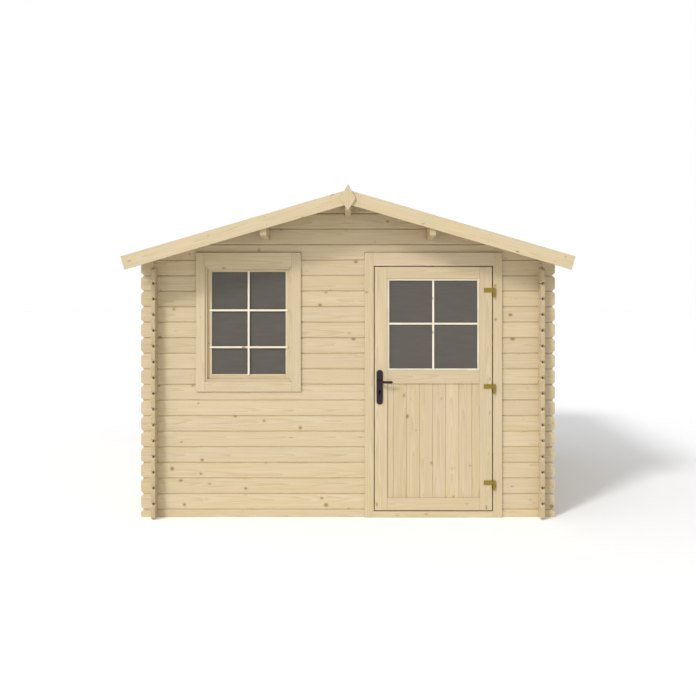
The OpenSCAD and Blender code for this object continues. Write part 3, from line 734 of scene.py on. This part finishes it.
class SHED_OT_floor(bpy.types.Operator):
    """Joists and floor boards"""

    bl_idname = "shed.floor"
    bl_label = "Floor"

    def execute(self, context):
        sizes = context.scene.shed_sizes
        dress_timber(context, "floor_joists", "beams", "floor_spruce")
        slab = node_mesh("floor_boards")
        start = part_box("floor_boards")[0].y + sizes.board_pitch
        boards = boards_of(slab, INWARD, start, sizes.board_pitch, sizes.board_joint)
        dress_timber(context, "floor_boards", "planks", "floor_spruce", boards, RIGHT, sizes.board_arris)
        return {"FINISHED"}


class SHED_OT_frames(bpy.types.Operator):
    """Frames of the door and the window, and the sash"""

    bl_idname = "shed.frames"
    bl_label = "Frames"

    def execute(self, context):
        for node in ("door_jambs", "door_head", "door_sill"):
            dress_timber(context, node, "wood", "trim_spruce")
        for node in ("window_jambs", "window_rails", "sash_stiles", "sash_rails"):
            dress_timber(context, node, "wood", "trim_spruce", arris=context.scene.shed_sizes.joint_arris)
        return {"FINISHED"}


class SHED_OT_door(bpy.types.Operator):
    """Stiles, rails, boarded panel and beads of the door leaf"""

    bl_idname = "shed.door"
    bl_label = "Door Leaf"

    def execute(self, context):
        sizes = context.scene.shed_sizes
        for node in ("lock_stile", "hinge_stile", "door_rails"):
            dress_timber(context, node, "wood", "door_spruce", arris=sizes.joint_arris)
        solids = solids_of(node_mesh("door_beads"))
        beads = timber(context, "door_beads_wood", solids, "bead_spruce", arris=sizes.joint_arris)
        stand_for(beads, "door_beads")
        slab = node_mesh("door_panel")
        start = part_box("lock_stile")[1].x + sizes.panel_first_board
        boards = boards_of(slab, RIGHT, start, sizes.board_pitch, sizes.panel_joint)
        dress_timber(context, "door_panel", "boards", "door_spruce", boards, UP, sizes.panel_arris)
        return {"FINISHED"}


# Straight pieces in a rounded corner of a moulding
CORNER_STEPS = 5


def bar_section(width, depth, radius):
    """Outline of a glazing bar, flat at the back and rounded at the front: sideways and outward."""
    half = width / 2
    outline = [(-half, 0.0)]
    for middle, first in ((radius - half, math.pi), (half - radius, math.pi / 2)):
        for step in range(CORNER_STEPS + 1):
            turn = first - step / CORNER_STEPS * math.pi / 2
            outline.append((middle + radius * math.cos(turn), depth - radius + radius * math.sin(turn)))
    return outline + [(half, 0.0)]


def loft(bm, rings):
    """Adds a closed solid whose skin runs over rings of points, which turn left as seen from the last."""
    loops = [[bm.verts.new(point) for point in ring] for ring in rings]
    for low, high in zip(loops, loops[1:]):
        for i in range(len(low)):
            j = (i + 1) % len(low)
            bm.faces.new([low[i], low[j], high[j], high[i]])
    bm.faces.new(loops[0][::-1])
    bm.faces.new(loops[-1])


def prism(outline, start, end, outward):
    """A solid of one outline from start to end, with its front turned outward."""
    sideways = outward.cross((end - start).normalized())
    solid = bmesh.new()
    loft(solid, [[at + sideways * side + outward * out for side, out in outline] for at in (start, end)])
    bmesh.ops.recalc_face_normals(solid, faces=solid.faces)
    return solid


# How much lower the upright bars are than the cross bars that they meet, and how far they lie over a rail
BAR_STEP = 0.4 * MM
UPRIGHT_LAP_SHARE = 0.35


def bar_grid(low, high, back, outward, shares, sizes, lap):
    """One upright bar and cross bars at the given shares of a light's height, as separate solids."""
    middle = (low.x + high.x) / 2
    upright = bar_section(sizes.bar_width, sizes.bar_depth - BAR_STEP, sizes.bar_round)
    crossing = bar_section(sizes.bar_width, sizes.bar_depth, sizes.bar_round)
    over = lap * UPRIGHT_LAP_SHARE
    foot, head = Vector((middle, back, low.z - over)), Vector((middle, back, high.z + over))
    bars = [prism(upright, foot, head, outward)]
    for share in shares:
        level = low.z + (high.z - low.z) * share
        ends = (Vector((low.x - lap, back, level)), Vector((high.x + lap, back, level)))
        bars.append(prism(crossing, *ends, outward))
    return bars


class SHED_OT_glazing(bpy.types.Operator):
    """Panes and glazing bars of the window and the door"""

    bl_idname = "shed.glazing"
    bl_label = "Glazing"

    def execute(self, context):
        sizes = context.scene.shed_sizes
        inset = Vector((GLASS_REBATE, 0, GLASS_REBATE))
        for node in ("window_glass", "door_glass"):
            pane = node_mesh(node)
            round_edges(pane, sizes.arris * GLASS_ARRIS_SHARE, GLASS_STEPS)
            shown = show(f"{node}_pane", mesh_of(node, pane), finish_of(context, "clear_glass"))
            stand_for(shown, node)

        low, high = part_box("window_glass")
        low, high = low + inset, high - inset
        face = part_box("sash_stiles")[0].y
        grid = bar_grid(low, high, face, -INWARD, WINDOW_BAR_SHARES, sizes, sizes.bar_lap)
        bars = timber(context, "window_bars", grid, "bar_spruce", arris=0.0)
        add_to(bars, "shed")

        low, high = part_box("door_glass")
        front, back = low.y, high.y
        low, high = low + inset, high - inset
        grid = bar_grid(low, high, front, -INWARD, DOOR_BAR_SHARES, sizes, 0.0)
        grid += bar_grid(low, high, back, INWARD, DOOR_BAR_SHARES, sizes, 0.0)
        bars = timber(context, "door_bars", grid, "bar_spruce", arris=0.0)
        add_to(bars, "door")
        return {"FINISHED"}


# Rounding of the lever's narrow rims, as a share of that of the other metal
LEVER_ARRIS_SHARE = 0.4


class SHED_OT_ironmongery(bpy.types.Operator):
    """Hinges, handle plates and lever"""

    bl_idname = "shed.ironmongery"
    bl_label = "Ironmongery"

    def execute(self, context):
        arris = context.scene.shed_sizes.metal_arris
        for node, slot in (
            ("hinge_pintles", "gilt_metal"), ("hinge_straps", "gilt_metal"),
            ("outside_plate", "black_metal"), ("inside_plate", "black_metal"), ("lever", "black_metal"),
        ):
            solid = node_mesh(node)
            round_edges(solid, arris * (LEVER_ARRIS_SHARE if node == "lever" else 1), METAL_STEPS)
            shown = show(f"{node}_metal", mesh_of(node, solid), finish_of(context, slot))
            stand_for(shown, node)
        return {"FINISHED"}


# Rings of a nail head and of a star-drive screw head, from the edge inwards: radius and height as shares
# of the head's radius, and the depth of the six lobes as a share of the ring's radius
NAIL_RINGS = ((1.0, 0.0, 0.0), (1.0, 0.1, 0.0), (0.75, 0.22, 0.0))
SCREW_RINGS = (
    (1.0, 0.0, 0.0), (1.0, 0.12, 0.0), (0.86, 0.27, 0.0), (0.58, 0.34, 0.0), (0.46, 0.34, 0.16),
    (0.44, 0.05, 0.16),
)
NAIL_SIDES = 10
SCREW_SIDES = 24
STAR_POINTS = 6


def heads(name, seats, outward, radius, rings, sides):
    """One mesh of nail or screw heads that sit on a flat face."""
    across = outward.orthogonal().normalized()
    beside = outward.cross(across)
    bm = bmesh.new()
    for seat in seats:
        loops = []
        for share, height, lobe in rings:
            loop = []
            for step in range(sides):
                turn = 2 * math.pi * step / sides
                out = radius * share * (1 + lobe * math.cos(STAR_POINTS * turn))
                spot = across * (out * math.cos(turn)) + beside * (out * math.sin(turn))
                loop.append(seat + spot + outward * (height * radius))
            loops.append(loop)
        loft(bm, loops)
    return mesh_of(name, bm)


# Shares of a hinge strap's length, and of a handle plate's height, where screws sit
STRAP_SCREW_SHARES = (0.14, 0.42)
PLATE_SCREW_SHARES = (0.05, 0.95)
# Shares of a bargeboard's length where nails sit
BARGE_NAIL_SHARES = (0.06, 0.35, 0.63, 0.92)
# Places of the two nails across a board, as shares of its width
NAIL_SHARES = (0.22, 0.78)
# Place of the roof's top row of nails, as a share of the way from the ridge to the edge of its purlin
RIDGE_NAIL_SHARE = 0.5

# Lock cylinder over the keyhole: its height in the plate, its round head and straight stem, the height and
# the inset of its rounded front, and the key's slit
CYLINDER_SHARE = 0.38
CYLINDER_RADIUS = 8.5 * MM
CYLINDER_STEM = 10 * MM
CYLINDER_LENGTH = 24.5 * MM
CYLINDER_PROUD = 1.2 * MM
CYLINDER_FRONT = 1.6 * MM
CYLINDER_FRONT_SHARE = 0.94
CYLINDER_STEPS = 24
SLIT_WIDTH = 2 * MM
SLIT_HEIGHT = 9 * MM
SLIT_FLOOR = 0.4 * MM


def lock_cylinder(seat, outward):
    """The face of a lock cylinder with its key slit: a round head over a stem with a round foot."""
    half = CYLINDER_STEM / 2
    lean = math.asin(half / CYLINDER_RADIUS)
    outline = []
    for step in range(CYLINDER_STEPS + 1):
        turn = lean - math.pi / 2 + 2 * (math.pi - lean) * step / CYLINDER_STEPS
        outline.append((CYLINDER_RADIUS * math.cos(turn), CYLINDER_RADIUS * math.sin(turn)))
    for step in range(CYLINDER_STEPS // 2 + 1):
        turn = math.pi + 2 * math.pi * step / CYLINDER_STEPS
        outline.append((half * math.cos(turn), half - CYLINDER_LENGTH + half * math.sin(turn)))
    inset = [(side * CYLINDER_FRONT_SHARE, up * CYLINDER_FRONT_SHARE) for side, up in outline]
    slit = []
    for i in range(len(outline)):
        turn = lean - math.pi / 2 + 2 * math.pi * i / len(outline)
        slit.append((SLIT_WIDTH / 2 * math.cos(turn), SLIT_HEIGHT / 2 * math.sin(turn)))
    sideways = UP.cross(outward)
    solid = bmesh.new()
    loft(solid, [
        [seat + sideways * side + UP * up + outward * out for side, up in ring]
        for ring, out in (
            (outline, 0.0), (outline, CYLINDER_PROUD), (inset, CYLINDER_FRONT), (slit, CYLINDER_FRONT),
            (slit, SLIT_FLOOR),
        )
    ])
    return solid


class Face:
    """The largest flat face of a node that looks one way."""

    def __init__(self, node, outward):
        bm = node_mesh(node)
        bm.normal_update()
        face = max(
            (face for face in bm.faces if face.normal.dot(outward) > FACING),
            key=lambda face: face.calc_area(),
        )
        self.normal = face.normal.copy()
        self.along = heading(longest(face.edges))
        self.wide = self.normal.cross(self.along)
        self.level = face.verts[0].co.dot(self.normal)
        self.spans = [reach(face.verts, axis) for axis in (self.along, self.wide)]
        bm.free()

    def spot(self, share_along, share_wide):
        """The point at the given shares of the face's length and width."""
        run, side = (
            low + (high - low) * share for (low, high), share in zip(self.spans, (share_along, share_wide))
        )
        return self.along * run + self.wide * side + self.normal * self.level

    def spot_at(self, x, y):
        """The point of the face over a place on the ground."""
        return Vector((x, y, (self.level - self.normal.x * x - self.normal.y * y) / self.normal.z))


def middles(node):
    """Places from left to right of the middles of a node's solids."""
    places = []
    for solid in solids_of(node_mesh(node)):
        places.append(sum(reach(solid.verts, RIGHT)) / 2)
        solid.free()
    return places


class SHED_OT_fixings(bpy.types.Operator):
    """Screws of the ironmongery, faces of the lock cylinder and nails of the boards"""

    bl_idname = "shed.fixings"
    bl_label = "Fixings"

    def fasten(self, context, name, mesh, body, finish, slot):
        """Shows a mesh of fixings as a new piece of a body."""
        add_to(show(name, mesh, finish_of(context, finish)), body)

    def execute(self, context):
        sizes = context.scene.shed_sizes

        seats = []
        for strap in solids_of(node_mesh("hinge_straps")):
            low, high = reach(strap.verts, RIGHT)
            tip = [vert for vert in strap.verts if vert.co.x < low + sizes.screw_radius]
            flat, level = reach(tip, INWARD)[0], sum(reach(strap.verts, UP)) / 2
            seats += [Vector((low + (high - low) * share, flat, level)) for share in STRAP_SCREW_SHARES]
            strap.free()
        mesh = heads("hinge_screws", seats, -INWARD, sizes.screw_radius, SCREW_RINGS, SCREW_SIDES)
        self.fasten(context, "hinge_screws", mesh, "door", "gilt_metal", "gilt_metal")

        for side, outward in (("outside", -INWARD), ("inside", INWARD)):
            low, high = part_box(f"{side}_plate")
            face = low.y if side == "outside" else high.y
            *seats, keyhole = (
                Vector(((low.x + high.x) / 2, face, low.z + (high.z - low.z) * share))
                for share in (*PLATE_SCREW_SHARES, CYLINDER_SHARE)
            )
            mesh = heads(f"{side}_screws", seats, outward, sizes.screw_radius, SCREW_RINGS, SCREW_SIDES)
            self.fasten(context, f"{side}_screws", mesh, "door", "black_metal", "black_metal")
            mesh = mesh_of(f"{side}_cylinder", lock_cylinder(keyhole, outward))
            self.fasten(context, f"{side}_cylinder", mesh, "door", "oiled_steel", "black_metal")

        for end, outward in (("front", -INWARD), ("back", INWARD)):
            for side in ("left", "right"):
                node = f"{end}_bargeboard_{side}"
                face = Face(node, outward)
                seats = [face.spot(share, cross) for share in BARGE_NAIL_SHARES for cross in NAIL_SHARES]
                mesh = heads(f"{node}_nails", seats, face.normal, sizes.nail_radius, NAIL_RINGS, NAIL_SIDES)
                self.fasten(context, f"{node}_nails", mesh, "shed", "steel", "gilt_metal")

        # Rows of nails over the pieces that carry the boards
        rows = {"floor_boards": middles("floor_joists")}
        for side, pick in (("left", min), ("right", max)):
            rows[f"roof_{side}"] = [pick(middles(node)) for node in (f"{side}_wall", "side_purlins")]
            edge = pick(corner.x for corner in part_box("ridge_purlin"))
            rows[f"roof_{side}"].append(edge * RIDGE_NAIL_SHARE)
        for node, places in rows.items():
            face = Face(node, UP)
            low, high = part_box(node)
            seats = [
                face.spot_at(place, low.y + sizes.board_pitch * (board + cross))
                for board in range(int((high.y - low.y) / sizes.board_pitch))
                for cross in NAIL_SHARES for place in places
            ]
            mesh = heads(f"{node}_nails", seats, face.normal, sizes.nail_radius, NAIL_RINGS, NAIL_SIDES)
            self.fasten(context, f"{node}_nails", mesh, "shed", "steel", "gilt_metal")
        return {"FINISHED"}


# Stage: a white light table under a white sky that is brighter to the front and left, and a soft lamp there
FLOOR_RADIUS = 45.0
FLOOR_SIDES = 96
FLOOR_WHITE = "#FDFDFE"
FLOOR_ROUGHNESS = 0.9
FLOOR_GLOW = 0.05
SKY_STEPS = 4
SKY_LIGHT = 0.665
SKY_SWING = 0.55
SKY_WAY = Vector((-0.6, -0.8, 0))
LAMP_STRENGTH = 1.79
LAMP_SPREAD = math.radians(11)
LAMP_WAY = Vector((0.74, 1.0, -0.85))

# Camera: level, square to the front, with the shed low in the frame
CAMERA_PLACE = Vector((0.0, -8.416, 1.73))
CAMERA_LENS = 50.0
CAMERA_SENSOR = 36.0
CAMERA_SIGHT = 4 * FLOOR_RADIUS
FRAME_SIDE = 696
HORIZON_ROW = 278.5


class SHED_OT_stage(bpy.types.Operator):
    """Floor, sky, lamp and camera"""

    bl_idname = "shed.stage"
    bl_label = "Stage"

    def execute(self, context):
        scene = context.scene
        scene.view_settings.view_transform = "Standard"

        material, tree = blank_material("light_table")
        white = linear(FLOOR_WHITE)
        surface = add(
            tree, "ShaderNodeBsdfPrincipled",
            {
                "Base Color": white, "Roughness": FLOOR_ROUGHNESS, "Specular IOR Level": 0.0,
                "Emission Color": white, "Emission Strength": FLOOR_GLOW,
            },
        )
        add(tree, "ShaderNodeOutputMaterial", {"Surface": surface.outputs[0]})
        disc = bmesh.new()
        bmesh.ops.create_circle(disc, cap_ends=True, segments=FLOOR_SIDES, radius=FLOOR_RADIUS)
        floor = put_in_scene("floor", mesh_of("floor", disc))
        floor.data.materials.append(material)

        material, tree = blank_material("white_sky")
        glow = add(tree, "ShaderNodeEmission", {"Color": (1, 1, 1, 1), "Strength": 1.0})
        add(tree, "ShaderNodeOutputMaterial", {"Surface": glow.outputs[0]})
        dome = bmesh.new()
        bmesh.ops.create_icosphere(dome, subdivisions=SKY_STEPS, radius=FLOOR_RADIUS)
        sky = put_in_scene("sky", mesh_of("sky", dome))
        sky.data.materials.append(material)
        # The dome is the white that is seen; the world behind it gives the light
        sky.visible_diffuse = False
        sky.visible_shadow = False

        world = bpy.data.worlds.new("soft_sky")
        world.use_nodes = True
        world.node_tree.nodes.clear()
        tree = world.node_tree
        way = add(tree, "ShaderNodeTexCoord").outputs["Generated"]
        lean = add(
            tree, "ShaderNodeVectorMath", {0: way, 1: SKY_WAY}, operation="DOT_PRODUCT"
        ).outputs["Value"]
        glow = add(
            tree, "ShaderNodeMath", {0: lean, 1: SKY_SWING, 2: SKY_LIGHT}, operation="MULTIPLY_ADD"
        ).outputs[0]
        light = add(tree, "ShaderNodeBackground", {"Color": (1, 1, 1, 1), "Strength": glow})
        add(tree, "ShaderNodeOutputWorld", {"Surface": light.outputs[0]})
        scene.world = world

        lamp = bpy.data.lights.new("soft_lamp", "SUN")
        lamp.energy = LAMP_STRENGTH
        lamp.angle = LAMP_SPREAD
        holder = put_in_scene("soft_lamp", lamp)
        holder.rotation_mode = "QUATERNION"
        holder.rotation_quaternion = LAMP_WAY.to_track_quat("-Z", "Y")

        camera = bpy.data.cameras.new("camera")
        camera.lens = CAMERA_LENS
        camera.sensor_width = CAMERA_SENSOR
        camera.shift_y = (HORIZON_ROW - FRAME_SIDE / 2) / FRAME_SIDE
        camera.clip_end = CAMERA_SIGHT
        eye = put_in_scene("camera", camera)
        eye.location = CAMERA_PLACE
        eye.rotation_euler = (math.pi / 2, 0, 0)
        scene.camera = eye
        return {"FINISHED"}


BUILDERS = (
    SHED_OT_stage, SHED_OT_logs, SHED_OT_roof, SHED_OT_floor, SHED_OT_frames, SHED_OT_door,
    SHED_OT_glazing, SHED_OT_ironmongery, SHED_OT_fixings,
)


class SHED_PT_panel(bpy.types.Panel):
    """Sizes, colours and builders of the shed"""

    bl_label = "Garden Shed"
    bl_space_type = "VIEW_3D"
    bl_region_type = "UI"
    bl_category = "Shed"

    def draw(self, context):
        for group in (context.scene.shed_sizes, context.scene.shed_colours):
            column = self.layout.column()
            for name in group.__annotations__:
                column.prop(group, name)
        for builder in BUILDERS:
            self.layout.operator(builder.bl_idname)


CLASSES = (ShedSizes, ShedColours, *BUILDERS, SHED_PT_panel)


def register():
    for cls in CLASSES:
        bpy.utils.register_class(cls)
    bpy.types.Scene.shed_sizes = PointerProperty(type=ShedSizes)
    bpy.types.Scene.shed_colours = PointerProperty(type=ShedColours)


def unregister():
    del bpy.types.Scene.shed_colours
    del bpy.types.Scene.shed_sizes
    for cls in reversed(CLASSES):
        bpy.utils.unregister_class(cls)


def main():
    """Builds the shed."""
    register()
    for builder in BUILDERS:
        group, name = builder.bl_idname.split(".")
        getattr(getattr(bpy.ops, group), name)()


if __name__ == "__main__":
    main()
